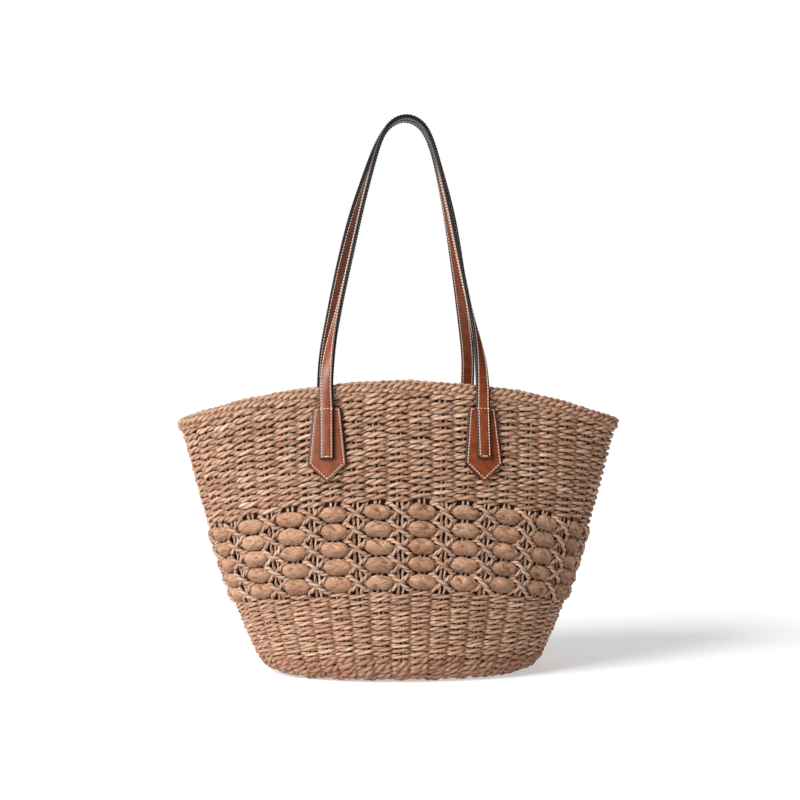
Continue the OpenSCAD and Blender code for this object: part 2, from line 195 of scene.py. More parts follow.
class Mesh:
    """Gathers vertices, faces and the values that the materials read, and makes them one piece."""

    def __init__(self):
        self.points = []
        self.faces = []
        # fibre, tone, crease and depth feed the materials. depth carries painted shade, and on straw and thread a low
        # crease is painted shade too.
        self.values = {"fibre": [], "tone": [], "crease": [], "depth": []}
        self.count = 0

    def add_points(self, points, fibre, tone, crease, depth):
        shape = points.shape[:-1]
        self.points.append(points.reshape(-1, 3))
        self.values["fibre"].append(np.broadcast_to(fibre, shape + (3,)).reshape(-1, 3))
        for name, value in (("tone", tone), ("crease", crease), ("depth", depth)):
            self.values[name].append(np.broadcast_to(value, shape).reshape(-1))
        index = self.count + np.arange(np.prod(shape)).reshape(shape)
        self.count += index.size
        return index

    def tubes(self, centre, side, up, across, over, closed=False, fibre=0.0, tone=0.5, crease=1.0, depth=0.0):
        """Tubes along centre (n, m, 3). across and over (n, m, r) place each ring's points, anticlockwise
        as seen looking back along the tube."""
        points = centre[:, :, None] + across[..., None] * side[:, :, None] + over[..., None] * up[:, :, None]
        index = self.add_points(points, fibre, tone, crease, depth)
        here = index if closed else index[:, :-1]
        ahead = np.roll(index, -1, axis=1) if closed else index[:, 1:]
        quads = np.stack([here, np.roll(here, -1, 2), np.roll(ahead, -1, 2), ahead], -1)
        self.faces.append(quads.reshape(-1, 4))
        if not closed:
            self.faces.append(index[:, 0, ::-1])
            self.faces.append(index[:, -1])

    def cords(self, centre, outward, radius, section, phase=0.0, flat=(1.0, 1.0), closed=False,
              tone=0.5, depth=0.0):
        """Cords of a section made by ply_section. phase turns the section along each cord."""
        n, m = centre.shape[:2]
        angles, lobes = section
        side, up = path_frames(centre, outward, closed)
        angle = angles + np.broadcast_to(phase, (n, m))[..., None]
        reach = np.broadcast_to(radius, (n, m))[..., None] * lobes
        lengths = np.linalg.norm(np.diff(centre, axis=1, prepend=centre[:, :1]), axis=-1).cumsum(1)
        around = np.broadcast_to(angles, (n, m, len(angles)))
        start = rng.uniform(0, 50, (n, 1, 1))
        fibre = np.stack([lengths[..., None] / (6 * MM) + start + 0 * around,
                          2.2 * np.cos(around), 2.2 * np.sin(around)], -1)
        crease = (lobes - lobes.min()) / max(np.ptp(lobes), 1e-9) if np.ptp(lobes) > 1e-6 else 1.0
        tone = np.broadcast_to(tone, n)[:, None, None]
        depth = np.broadcast_to(depth, (n, m))[..., None]
        self.tubes(centre, side, up, reach * np.cos(angle) * flat[0], reach * np.sin(angle) * flat[1],
                   closed, fibre, tone, crease, depth)

    def hoop(self, samples, arcs, outs, tone=0.5, depth=0.0, ripple=None):
        """A closed band round the basket whose cross-section is the polygon of arcs and outs."""
        share = (np.arange(samples) / samples)[None, :, None]
        level = np.broadcast_to(arcs, (1, samples, len(arcs)))
        out = np.broadcast_to(outs, level.shape)
        if ripple is not None:
            out = out + ripple(share, level)
        points = skin(share, level, out)[0]
        fibre = np.stack([np.broadcast_to(share, level.shape), level, out], -1) / MM
        index = self.add_points(points, fibre, tone, 1.0, depth)
        ahead = np.roll(index, -1, axis=1)
        quads = np.stack([index, np.roll(index, -1, 2), np.roll(ahead, -1, 2), ahead], -1)
        self.faces.append(quads.reshape(-1, 4))

    def piece(self, name, material, body="basket", replaces=(), slot=None, blend=None):
        mesh = bpy.data.meshes.new(name)
        points = np.concatenate(self.points)
        mesh.vertices.add(len(points))
        mesh.vertices.foreach_set("co", points.astype(np.float32).ravel())
        corners = np.concatenate([f.ravel() for f in self.faces])
        sizes = np.concatenate([np.full(len(f), f.shape[1]) for f in self.faces])
        mesh.loops.add(len(corners))
        mesh.loops.foreach_set("vertex_index", corners.astype(np.int32))
        mesh.polygons.add(len(sizes))
        starts = np.concatenate([[0], np.cumsum(sizes)[:-1]])
        mesh.polygons.foreach_set("loop_start", starts.astype(np.int32))
        mesh.polygons.foreach_set("use_smooth", np.ones(len(sizes), bool))
        mesh.update(calc_edges=True)
        for value_name, parts in self.values.items():
            kind = "FLOAT_VECTOR" if value_name == "fibre" else "FLOAT"
            field = "vector" if value_name == "fibre" else "value"
            made = mesh.attributes.new(value_name, kind, "POINT")
            made.data.foreach_set(field, np.concatenate(parts).astype(np.float32).ravel())
        mesh.materials.append(material)
        obj = bpy.data.objects.new(name, mesh)
        bpy.context.scene.collection.objects.link(obj)
        if blend:
            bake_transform(obj)
        else:
            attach(obj, body)
        if replaces:
            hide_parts(*replaces)
        return obj


def path_frames(centre, outward, closed=False):
    """Directions across a path and out of it, square to the path."""
    if closed:
        along = unit(np.roll(centre, -1, 1) - np.roll(centre, 1, 1))
    else:
        along = unit(np.gradient(centre, axis=1))
    side = unit(np.cross(outward, along))
    return side, np.cross(along, side)


def ply_section(plies, spread, per_ply=6):
    """Angles and radii of round plies of radius 1 laid together, their middles spread from the cord's."""
    half = math.pi / plies
    local = (np.arange(per_ply) / per_ply * 2 - 1) * half
    lobe = spread * np.cos(local) + np.sqrt(1 - (spread * np.sin(local)) ** 2)
    angles = np.concatenate([local + 2 * math.pi * ply / plies for ply in range(plies)])
    return angles, np.tile(lobe, plies)


TWO_PLY = ply_section(2, 0.62)
SOFT_PLY = ply_section(2, 0.5)
ROUND = ply_section(1, 0.0, 8)
THREAD_SECTION = ply_section(2, 0.35, 3)


# ---- Materials ----

class Shader:
    """A Principled material. node adds a node and gives back the output to link on."""

    def __init__(self, name, **sockets):
        self.material = bpy.data.materials.new(name)
        self.material.use_nodes = True
        self.tree = self.material.node_tree
        self.surface = self.tree.nodes["Principled BSDF"]
        for socket, value in sockets.items():
            self.surface.inputs[socket.replace("_", " ")].default_value = value

    def node(self, kind, inputs=None, output=0, **settings):
        made = self.tree.nodes.new("ShaderNode" + kind)
        for key, value in settings.items():
            setattr(made, key, value)
        for socket, value in (inputs or {}).items():
            if isinstance(value, bpy.types.NodeSocket):
                self.tree.links.new(value, made.inputs[socket])
            else:
                made.inputs[socket].default_value = value
        return made.outputs[output]

    def value(self, name):
        return self.node("Attribute", output=2, attribute_name=name)

    def vector(self, name):
        return self.node("Attribute", output=1, attribute_name=name)

    def noise(self, vector, scale, detail=2.0, roughness=0.5, distortion=0.0):
        return self.node("TexNoise", {"Vector": vector, "Scale": scale, "Detail": detail,
                                      "Roughness": roughness, "Distortion": distortion})

    def math(self, operation, a, b=0.0, c=0.0):
        return self.node("Math", {0: a, 1: b, 2: c}, operation=operation)

    def remap(self, value, low, high, to_low=0.0, to_high=1.0):
        return self.node("MapRange", {"Value": value, "From Min": low, "From Max": high,
                                      "To Min": to_low, "To Max": to_high})

    def stretch(self, vector, scale):
        return self.node("VectorMath", {0: vector, 1: scale}, operation="MULTIPLY")

    def ramp(self, factor, stops):
        made = self.tree.nodes.new("ShaderNodeValToRGB")
        self.tree.links.new(factor, made.inputs[0])
        elements = made.color_ramp.elements
        while len(elements) < len(stops):
            elements.new(0.5)
        for element, (place, colour) in zip(elements, stops):
            element.position = place
            element.color = (*colour, 1)
        return made.outputs[0]

    def mix(self, factor, a, b, blend_type="MIX"):
        made = self.tree.nodes.new("ShaderNodeMix")
        made.data_type = "RGBA"
        made.blend_type = blend_type
        for socket, value in ((made.inputs[0], factor), (made.inputs[6], a), (made.inputs[7], b)):
            if isinstance(value, bpy.types.NodeSocket):
                self.tree.links.new(value, socket)
            elif isinstance(value, tuple):
                socket.default_value = (*value, 1)
            else:
                socket.default_value = value
        return made.outputs[2]

    def finish(self, colour=None, roughness=None, bumps=()):
        """Links the colour and the roughness, and stacks bumps given as (height, strength, distance)."""
        if colour is not None:
            self.tree.links.new(colour, self.surface.inputs["Base Color"])
        if roughness is not None:
            self.tree.links.new(roughness, self.surface.inputs["Roughness"])
        normal = None
        for height, strength, distance in bumps:
            inputs = {"Height": height, "Strength": strength, "Distance": distance}
            if normal is not None:
                inputs["Normal"] = normal
            normal = self.node("Bump", inputs)
        if normal is not None:
            self.tree.links.new(normal, self.surface.inputs["Normal"])
        return self.material


def straw(name, dark, middle, light, painted_shade_colour, painted_shade_strength=1.0, wrinkled=0.0):
    """Twisted paper straw: fine creases run lengthwise and each strand has its own tone. Painted shade darkens it
    between its plies and deep in the weave. wrinkled adds the folds of crumpled paper, with painted shade
    in the folds and towards the bottom of each bundle."""
    s = Shader(name, Roughness=0.62)
    s.surface.inputs["Specular IOR Level"].default_value = 0.35
    fibre = s.vector("fibre")
    streaks = s.noise(fibre, 1.0, 3.0, 0.6)
    fine = s.noise(s.stretch(fibre, (1.0, 3.0, 3.0)), 1.6, 2.0, 0.6)
    blotch = s.noise(s.stretch(fibre, (0.35, 0.4, 0.4)), 1.0, 1.0)
    tone = s.math("MULTIPLY_ADD", streaks, 0.9, s.math("MULTIPLY_ADD", blotch, 0.5, -0.7))
    tone = s.math("ADD", tone, s.value("tone"))
    colour = s.ramp(tone, [(0.0, dark), (0.5, middle), (1.0, light)])
    wide = s.noise(s.node("TexCoord", output=3), 22.0, 2.0)
    colour = s.mix(s.remap(wide, 0.42, 0.62, 0.0, 0.35), colour, s.mix(1.0, colour, (1.0, 0.86, 0.86), "MULTIPLY"))
    # Painted shade between the plies: the lower the crease value, the darker.
    plies = s.remap(s.value("crease"), 0.0, 0.75, 0.0, 1.0)
    shade = s.math("MULTIPLY", s.math("SUBTRACT", 1.0, plies), 0.85 * painted_shade_strength)
    # Painted shade deep in the weave, read from the depth value.
    shade = s.math("MAXIMUM", shade, s.value("depth"))
    bumps = [(streaks, 0.5, 0.5 * MM), (fine, 0.35, 0.3 * MM)]
    if wrinkled:
        warp = s.noise(s.stretch(fibre, (0.42, 0.55, 0.55)), 1.0, 1.0, 0.5, 0.7)
        ridge = s.math("ABSOLUTE", s.math("SUBTRACT", warp, 0.5))
        fold = s.remap(ridge, 0.0, 0.09)
        # upper runs from the bottom of a bundle to its top. Painted shade goes into the folds, stronger lower down,
        # and more painted shade goes towards the bottom itself.
        upper = s.remap(s.node("SeparateXYZ", {"Vector": fibre}, output=1), -1.5, 2.0)
        painted_fold_shade = s.math("MULTIPLY", s.math("SUBTRACT", 1.0, fold), s.remap(upper, 0.0, 1.0, wrinkled, 0.25 * wrinkled))
        shade = s.math("MAXIMUM", shade, s.math("MAXIMUM", painted_fold_shade, s.remap(upper, 0.0, 0.75, 0.62, 0.0)))
        flecks = s.noise(s.stretch(fibre, (1.3, 1.5, 1.5)), 2.4, 3.0, 0.65)
        shade = s.math("MAXIMUM", shade, s.remap(flecks, 0.34, 0.47, wrinkled, 0.0))
        bumps = [(fold, 0.5, 1.3 * MM), (warp, 0.8, 3.0 * MM), (flecks, 0.5, 0.7 * MM)]
    # Mixes in the dark colour by the painted shade.
    colour = s.mix(shade, colour, painted_shade_colour)
    rough = s.remap(streaks, 0.3, 0.7, 0.5, 0.75)
    return s.finish(colour, rough, bumps)


def fabric(name, dark, light):
    """Plain-woven cotton with a thread every half millimetre."""
    s = Shader(name, Roughness=0.9)
    s.surface.inputs["Sheen Weight"].default_value = 0.06
    place = s.node("TexCoord", output=3)
    warp = s.node("TexWave", {"Vector": place, "Scale": 320.0, "Distortion": 0.6, "Detail": 1.0,
                              "Detail Scale": 2.0}, bands_direction="Z", output=1)
    weft = s.node("TexWave", {"Vector": place, "Scale": 320.0, "Distortion": 0.6, "Detail": 1.0,
                              "Detail Scale": 2.0}, bands_direction="X", output=1)
    threads = s.math("MULTIPLY", warp, weft)
    blotch = s.noise(place, 35.0, 3.0)
    colour = s.ramp(s.math("MULTIPLY_ADD", threads, 0.45, s.math("MULTIPLY", blotch, 0.6)),
                    [(0.1, dark), (0.9, light)])
    return s.finish(colour, None, [(threads, 0.4, 0.25 * MM), (blotch, 0.2, 2 * MM)])


def leather(name, deep, tan, edge_paint, roughness=0.36):
    """Smooth dyed leather with a fine grain. crease is 0 on its painted edges and 1 on its face. Where its tone falls
    to 0 it is darkened to black with painted shade."""
    s = Shader(name, Roughness=roughness)
    s.surface.inputs["Coat Weight"].default_value = 0.06
    s.surface.inputs["Coat Roughness"].default_value = 0.2
    s.surface.inputs["Specular IOR Level"].default_value = 0.3
    place = s.vector("fibre")
    mottle = s.noise(place, 0.12, 3.0, 0.55)
    pull_up = s.noise(s.stretch(place, (0.25, 1.0, 1.0)), 0.5, 2.0)
    cells = s.node("TexVoronoi", {"Vector": place, "Scale": 1.7}, feature="DISTANCE_TO_EDGE")
    pores = s.noise(place, 4.0, 2.0)
    tone = s.math("MULTIPLY_ADD", mottle, 0.9, s.math("MULTIPLY_ADD", pull_up, 0.4, -0.15))
    colour = s.ramp(tone, [(0.15, deep), (0.8, tan)])
    face = s.value("crease")
    burnish = s.remap(face, 0.25, 1.0, 0.45, 0.0)
    colour = s.mix(burnish, colour, deep)
    # Painted shade: black where the tone value falls to 0, at the top of the handles' arch.
    colour = s.mix(s.remap(s.value("tone"), 0.0, 0.5, 0.88, 0.0), colour, edge_paint)
    painted = s.remap(face, 0.08, 0.2, 1.0, 0.0)
    colour = s.mix(painted, colour, edge_paint)
    rough = s.remap(pull_up, 0.3, 0.7, roughness - 0.06, roughness + 0.1)
    grain = s.remap(cells, 0.0, 0.25)
    return s.finish(colour, rough, [(grain, 0.12, 0.12 * MM), (pores, 0.08, 0.1 * MM), (mottle, 0.1, 1 * MM)])


def thread(name, dark, light):
    """Waxed thread, darkened to black by painted shade where its depth is 1."""
    s = Shader(name, Roughness=0.55)
    s.surface.inputs["Sheen Weight"].default_value = 0.2
    fibre = s.vector("fibre")
    twist = s.noise(s.stretch(fibre, (2.0, 1.5, 1.5)), 2.0, 2.0)
    # Painted shade: darker between the plies, where crease is low.
    colour = s.ramp(s.math("MULTIPLY", twist, s.remap(s.value("crease"), 0.0, 1.0, 0.7, 1.2)),
                    [(0.1, dark), (0.6, light)])
    # Painted shade: black where depth is 1.
    colour = s.mix(s.remap(s.value("depth"), 0.0, 1.0, 0.0, 0.95), colour, (0.007, 0.002, 0.002))
    return s.finish(colour, None, [(twist, 0.3, 0.1 * MM)])


def metal(name):
    s = Shader(name, Metallic=1.0, Roughness=0.28)
    place = s.node("TexCoord", output=3)
    brushed = s.noise(s.stretch(place, (1.0, 1.0, 8.0)), 900.0, 2.0)
    colour = s.ramp(brushed, [(0.3, (0.52, 0.5, 0.46)), (0.7, (0.72, 0.7, 0.66))])
    return s.finish(colour, s.remap(brushed, 0.3, 0.7, 0.22, 0.4), [(brushed, 0.05, 0.05 * MM)])


# The fourth colour given to each straw is the colour of its painted shade, and the number after it that shade's
# strength.
STRAW = straw("straw", (0.21, 0.094, 0.056), (0.425, 0.24, 0.148), (0.79, 0.56, 0.395), (0.03, 0.008, 0.005), 0.8)
BUNDLE_STRAW = straw("bundle_straw", (0.235, 0.102, 0.052), (0.43, 0.238, 0.14), (0.66, 0.425, 0.268),
                     (0.085, 0.028, 0.013), 1.0, 0.45)
STAKE_STRAW = straw("stake_straw", (0.28, 0.145, 0.092), (0.47, 0.29, 0.195), (0.7, 0.51, 0.38),
                    (0.04, 0.012, 0.008), 0.8)
BORDER_STRAW = straw("border_straw", (0.19, 0.08, 0.048), (0.345, 0.176, 0.107), (0.54, 0.335, 0.215),
                     (0.04, 0.012, 0.008), 0.9)
# Nearly black straw for the inside of the weave: painted shade, as the inside shows only in the gaps between the
# cords.
SHADED_STRAW = straw("shaded_straw", (0.02, 0.007, 0.004), (0.035, 0.014, 0.008), (0.06, 0.027, 0.016),
                     (0.01, 0.003, 0.002), 0.5)
# Dark brown cloth, darkened further with painted shade so that the lining shows black through the open-work band.
LINING_FABRIC = fabric("lining_fabric", (0.032, 0.014, 0.008), (0.12, 0.062, 0.035))
LEATHER = leather("leather", (0.092, 0.0165, 0.005), (0.25, 0.06, 0.0165), (0.007, 0.002, 0.002))
BACKING_LEATHER = leather("backing_leather", (0.08, 0.015, 0.005), (0.2, 0.047, 0.014), (0.006, 0.002, 0.002))
THREAD = thread("thread", (0.42, 0.29, 0.21), (0.80, 0.68, 0.57))
DARK_THREAD = thread("dark_thread", (0.10, 0.055, 0.033), (0.26, 0.16, 0.11))
SNAP_METAL = metal("snap_metal")


# ---- Woven walls ----

CORD_RADIUS = 1.82 * MM
BUMP_LENGTH = 14.5 * MM
FRONT_OUT = -1.7 * MM
DIVE = 2.4 * MM


def woven_rows(mesh, bottom, top, rows, cord=CORD_RADIUS, span=1, tilt=0.2 * MM, section=TWO_PLY,
               front=FRONT_OUT, dive=DIVE, bump=BUMP_LENGTH, rings=25, scallop=0.0, tone_shift=0.0,
               roughness=1.0, stagger=0.5):
    """Cords over one pair of uprights and behind the next: every stretch that shows on the outside,
    between two arcs. Neighbouring columns lie stagger rows apart."""
    pitch = (top - bottom) / rows
    row, column = np.meshgrid(np.arange(rows), np.arange(COLUMNS // span), indexing="ij")
    row, column = row.ravel(), column.ravel()
    n = len(row)
    jitter = np.clip(rng.normal(0, roughness, (7, n, 1)), -2 * roughness, 2 * roughness)
    x = np.linspace(-0.61, 0.61, rings)[None]
    share = (column[:, None] + x * (1 + 0.03 * jitter[0])) * span / COLUMNS
    middle = bottom + (row + 0.5 + stagger * (column % 2 - 0.5)) * pitch
    slant = tilt * (1 + 0.35 * jitter[1]) * x + 0.3 * MM * jitter[6] * np.cos(3 * x)
    under = smooth(0.27, 0.58, abs(x))
    arc = middle[:, None] + slant + 0.25 * MM * jitter[2] - scallop * np.cos(np.pi * x)
    centre, _, _, outward = skin(share, arc, front - dive * under + 0.25 * MM * jitter[3])
    length = x * span * girth(level_at((bottom + top) / 2)) / COLUMNS
    phase = -math.pi * length / bump * (1 + 0.1 * jitter[1]) + 0.6 * jitter[4] + math.pi / 2
    phase = phase + 0.35 * np.sin(4 * x + 2 * jitter[2])
    uneven = 1 + 0.06 * jitter[5] + 0.05 * np.sin(7 * x + 3 * jitter[0])
    radius = cord * uneven * (1 - 0.28 * under)
    tone = np.clip(0.5 + tone_shift + rng.normal(0, 0.08, n), 0.0, 1.0)
    # depth paints shade on the ends of each stretch, where it dives behind the uprights.
    mesh.cords(centre, outward, radius, section, phase, (1.0, 0.82), tone=tone,
               depth=0.5 * smooth(0.38, 0.58, abs(x)))


def back_of_weave(mesh, bottom, top, rows):
    """The inner face of a woven wall, which shows only between the cords. Its material is nearly black with painted
    shade.
    """
    pitch = (top - bottom) / rows
    arcs = np.linspace(bottom, top, rows * 2 + 1)
    outs = np.concatenate([np.full(len(arcs), -4.5 * MM), np.full(len(arcs), -5.3 * MM)])

    def ribs(share, arc):
        return 0.3 * MM * np.cos(2 * np.pi * (arc / pitch + share * COLUMNS / 2))

    mesh.hoop(240, np.concatenate([arcs, arcs[::-1]]), outs, ripple=ribs)


def rope_ring(mesh, height, strands, lays, reach, radius, middle_out, section, flat=1.0, ply_turns=0,
              samples=900, tone_shift=0.0, wander=0.0):
    """A rope laid round the basket: strands wind about its middle, lays times in all, and each strand's
    own plies turn ply_turns times the other way."""
    share = np.arange(samples) / samples
    strand = np.arange(strands)[:, None]
    angle = 2 * np.pi * (-lays * share[None] + strand / strands)
    sway = wander * np.sin(2 * np.pi * (7 * share + 0.3)) + 0.5 * wander * np.sin(2 * np.pi * 17 * share)
    arc = arc_at(height + sway + reach * np.cos(angle))
    centre, _, _, outward = skin(share[None], arc, middle_out + reach * flat * np.sin(angle))
    phase = 2 * np.pi * ply_turns * share[None] + strand
    swell = 1 + 0.07 * np.sin(2 * np.pi * (31 * share[None] + 0.37 * strand))
    swell = swell + 0.05 * np.sin(2 * np.pi * (13 * share[None] + 0.61 * strand))
    tone = np.clip(0.5 + tone_shift + rng.normal(0, 0.06, strands), 0, 1)
    # Painted shade on the side of each strand that turns into the rope.
    inner_side_shade = np.clip(-np.sin(angle), 0, 1) * 0.5
    mesh.cords(centre, outward, radius * swell, section, phase, closed=True, tone=tone, depth=inner_side_shade)


def upper_wall():
    rows = (5, 4, 4)
    edges = arc_at(BAND_TOP + (WALE_BOTTOM - BAND_TOP) * np.cumsum((0,) + rows) / sum(rows))
    for index, count in enumerate(rows):
        mesh = Mesh()
        woven_rows(mesh, edges[index], edges[index + 1], count)
        mesh.piece(f"upper_weave_{index + 1}", STRAW, replaces=["upper_wall"], slot="straw")
    wale = Mesh()
    woven_rows(wale, edges[-1], arc_at(RIM_BOTTOM + 2.5 * MM), 3, cord=1.95 * MM, tilt=0.8 * MM, dive=2.1 * MM,
               bump=13 * MM)
    wale.piece("rim_wale", STRAW, replaces=["upper_wall"], slot="straw")
    back = Mesh()
    back_of_weave(back, arc_at(BAND_TOP), arc_at(RIM_BOTTOM + 3 * MM), 16)
    back.piece("upper_weave_inside", SHADED_STRAW, replaces=["upper_wall"], slot="straw")


def lower_wall():
    edges = arc_at(np.linspace(BORDER_TOP, BAND_BOTTOM, 3))
    for index in range(2):
        mesh = Mesh()
        woven_rows(mesh, edges[index], edges[index + 1], 6, cord=1.56 * MM)
        mesh.piece(f"lower_weave_{index + 1}", STRAW, replaces=["lower_wall"], slot="straw")
    back = Mesh()
    back_of_weave(back, arc_at(BORDER_TOP), arc_at(BAND_BOTTOM), 12)
    back.piece("lower_weave_inside", SHADED_STRAW, replaces=["lower_wall"], slot="straw")


def base():
    border = Mesh()
    woven_rows(border, 5 * MM, arc_at(BORDER_TOP), 5, cord=2.2 * MM, tilt=1.2 * MM, section=SOFT_PLY,
               front=-2.4 * MM, dive=1.4 * MM, bump=10 * MM, scallop=0.9 * MM, tone_shift=-0.05, roughness=1.6)
    border.piece("border_weave", BORDER_STRAW, replaces=["base_border"], slot="straw")
    bottom = Mesh()
    woven_rows(bottom, -94 * MM, 4 * MM, 16, cord=1.7 * MM, span=2, front=-3.3 * MM, dive=0.6 * MM, rings=21)
    bottom.piece("base_rings", STRAW, replaces=["base_weave"], slot="straw")
    back = Mesh()
    back_of_weave(back, -95.5 * MM, arc_at(BORDER_TOP), 22)
    back.piece("base_inside", SHADED_STRAW, replaces=["base_weave", "base_border"], slot="straw")


def rim():
    mesh = Mesh()
    rope_ring(mesh, HEIGHT - 7.8 * MM, 4, 34, 4.3 * MM, 1.98 * MM, -2.3 * MM, ply_section(2, 0.6, 8), 0.62,
              ply_turns=60, wander=0.5 * MM)
    mesh.piece("rim_rope", STRAW, replaces=["rim_braid"], slot="straw")


# ---- Open-work band ----

UPRIGHT_SPACING = 4.8 * MM
BUNDLE_REACH = 21 * MM

# Routes of the two cords that cross in every gap: millimetres along, up and out from the gap's middle
OVER_CORD = [(-13, 8.6, -3.4), (-9.6, 7.3, 0.2), (-6, 5.0, 2.2), (0, 0.2, 2.6), (5, -4.2, 1.4), (8.5, -6.8, 0.0),
             (13, -8.4, -3.4)]
UNDER_CORD = [(-12, -8.6, -3.4), (-8.6, -6.6, -0.6), (-5, -3.8, 0.8), (0, 0, 0.0), (5, 4.0, 1.2),
              (8.2, 6.7, 0.1), (11.5, 8.6, -3.4)]


def smooth_path(points, steps):
    """A Catmull-Rom curve through points (n, k, 3), with a number of steps between each two."""
    ends = 2 * points[:, :1] - points[:, 1:2], 2 * points[:, -1:] - points[:, -2:-1]
    p = np.concatenate([ends[0], points, ends[1]], axis=1)
    t = (np.arange(steps) / steps)[:, None]
    a, b, c, d = (p[:, k:p.shape[1] - 3 + k, None] for k in range(4))
    curve = 0.5 * (2 * b + (c - a) * t + (2 * a - 5 * b + 4 * c - d) * t**2 + (3 * b - a - 3 * c + d) * t**3)
    return np.concatenate([curve.reshape(len(points), -1, 3), points[:, -1:]], axis=1)


def uprights():
    mesh = Mesh()
    pair, side = np.meshgrid(np.arange(COLUMNS), [-1, 1], indexing="ij")
    pair, side = pair.ravel()[:, None], side.ravel()[:, None]
    arc = np.linspace(6 * MM, arc_at(RIM_BOTTOM + 3 * MM), 90)[None]
    height = arc - arc_at(0)
    in_band = smooth(BAND_BOTTOM - 4 * MM, BAND_BOTTOM + 3 * MM, height)
    in_band = in_band * (1 - smooth(BAND_TOP - 3 * MM, BAND_TOP + 4 * MM, height))
    front = np.where(pair % 2 == 0, 1.9 * MM, 1.0 * MM)
    wave = rng.uniform(0, 2 * np.pi, (2, len(pair), 1))
    sway = 0.35 * MM * np.sin(arc * 2 * np.pi / (23 * MM) + wave[0])
    share = pair / COLUMNS + (side * UPRIGHT_SPACING / 2 + sway) / girth(0.45)
    out = -3.7 * MM + front * in_band + 0.25 * MM * np.sin(arc * 2 * np.pi / (17 * MM) + wave[1])
    centre, _, _, outward = skin(share, arc, out)
    phase = arc * math.pi / (9 * MM) + wave[0]
    tone = np.clip(0.55 + rng.normal(0, 0.12, len(pair)), 0.1, 1)
    # depth paints shade on the uprights outside the band, where they lie behind the rows.
    mesh.cords(centre, outward, 1.2 * MM, SOFT_PLY, phase, tone=tone, depth=0.3 * (1 - in_band))
    mesh.piece("uprights", STAKE_STRAW, replaces=["upright_stakes"], slot="straw")


def bundles(row):
    """One row of puffed bundles: crumpled bodies that taper to flat tails behind the gaps."""
    arc = arc_at(FIRST_ROW + row * ROW_PITCH)
    n, m, r = BUNDLES, 60, 52
    jitter = np.clip(rng.normal(0, 1, (6, n, 1)), -1.8, 1.8)
    x = np.linspace(-1, 1, m)[None]
    x = BUNDLE_REACH * (0.75 * x + 0.25 * x**3)
    body = np.sqrt(np.clip(1 - abs(x / ((13.6 + 0.6 * jitter[0]) * MM)) ** 2.8, 0, 1))
    half_height = ((7.6 * MM * (1 + 0.04 * jitter[1]) * body) ** 3 + (2.5 * MM) ** 3) ** (1 / 3)
    half_depth = ((3.7 * MM * body) ** 3 + (1.3 * MM) ** 3) ** (1 / 3)
    lean = -0.9 * MM * (1 + 0.5 * jitter[2]) * np.sin(x / (12 * MM))
    share = (np.arange(n)[:, None] + 0.5) / n + (x + 0.5 * MM * jitter[3]) / girth(level_at(arc))
    out = -0.5 * MM - 1.6 * MM * smooth(10 * MM, 18 * MM, abs(x))
    centre, _, _, outward = skin(share, arc + lean + 0.3 * MM * jitter[4], out)
    angle = np.linspace(0, 2 * np.pi, r, endpoint=False) + 0 * x[..., None]
    angle = angle - 0.25 * np.sin(2 * angle)
    cosine, sine = np.cos(angle), np.sin(angle)
    rounded = (abs(cosine) ** 2.5 + abs(sine) ** 2.5) ** (-1 / 2.5)
    folds = crumple(n, x[..., None], angle) * body[..., None]
    reach_up = (half_height[..., None] + folds) * rounded * cosine
    reach_out = (half_depth[..., None] + folds) * rounded * sine
    side, up = path_frames(centre, outward)
    along = np.broadcast_to(x[..., None] / (6 * MM) + rng.uniform(0, 60, (n, 1, 1)), (n, m, r))
    around = np.broadcast_to(angle, (n, m, r))
    fibre = np.stack([along, 2.5 * np.cos(around), 2.5 * np.sin(around)], -1)
    tone = np.clip(0.5 + rng.normal(0, 0.06, n), 0.1, 0.9)[:, None, None]
    # Painted shade: depth darkens the tails where they pass behind the gaps, and crease darkens the folds.
    depth = (0.6 * smooth(13 * MM, 19 * MM, abs(x)))[..., None]
    crease = np.clip(1.0 + folds / (1.3 * MM), 0.1, 1)
    mesh = Mesh()
    mesh.tubes(centre, side, up, reach_up, reach_out, False, fibre, tone, crease, depth)
    mesh.piece(f"bundle_row_{row + 1}", BUNDLE_STRAW, replaces=[f"openwork_row_{row + 1}"], slot="straw")


def crumple(n, x, angle):
    """Folds and lumps of crumpled paper, as a displacement."""
    total = 0.0
    for _ in range(16):
        start = rng.uniform(0, 2 * np.pi, (n, 1, 1))
        slope = rng.normal(60, 90, (n, 1, 1))
        middle = rng.uniform(-12 * MM, 12 * MM, (n, 1, 1))
        gap = np.angle(np.exp(1j * (angle - start - slope * (x - middle))))
        width = rng.uniform(0.09, 0.2, (n, 1, 1))
        reach = rng.uniform(2.5 * MM, 6.5 * MM, (n, 1, 1))
        fold = np.exp(-(gap / width) ** 2) * np.exp(-((x - middle) / reach) ** 2)
        total = total - rng.uniform(0.45, 1.3, (n, 1, 1)) * MM * fold
    for waves in (1, 2, 3, 5):
        phase = rng.uniform(0, 2 * np.pi, (2, n, 1, 1))
        total = total + 0.4 * MM / waves**0.5 * np.sin(waves * angle + phase[0]) * np.sin(
            x / (4 * MM) * (1 + 0.3 * waves) + phase[1])
    return total


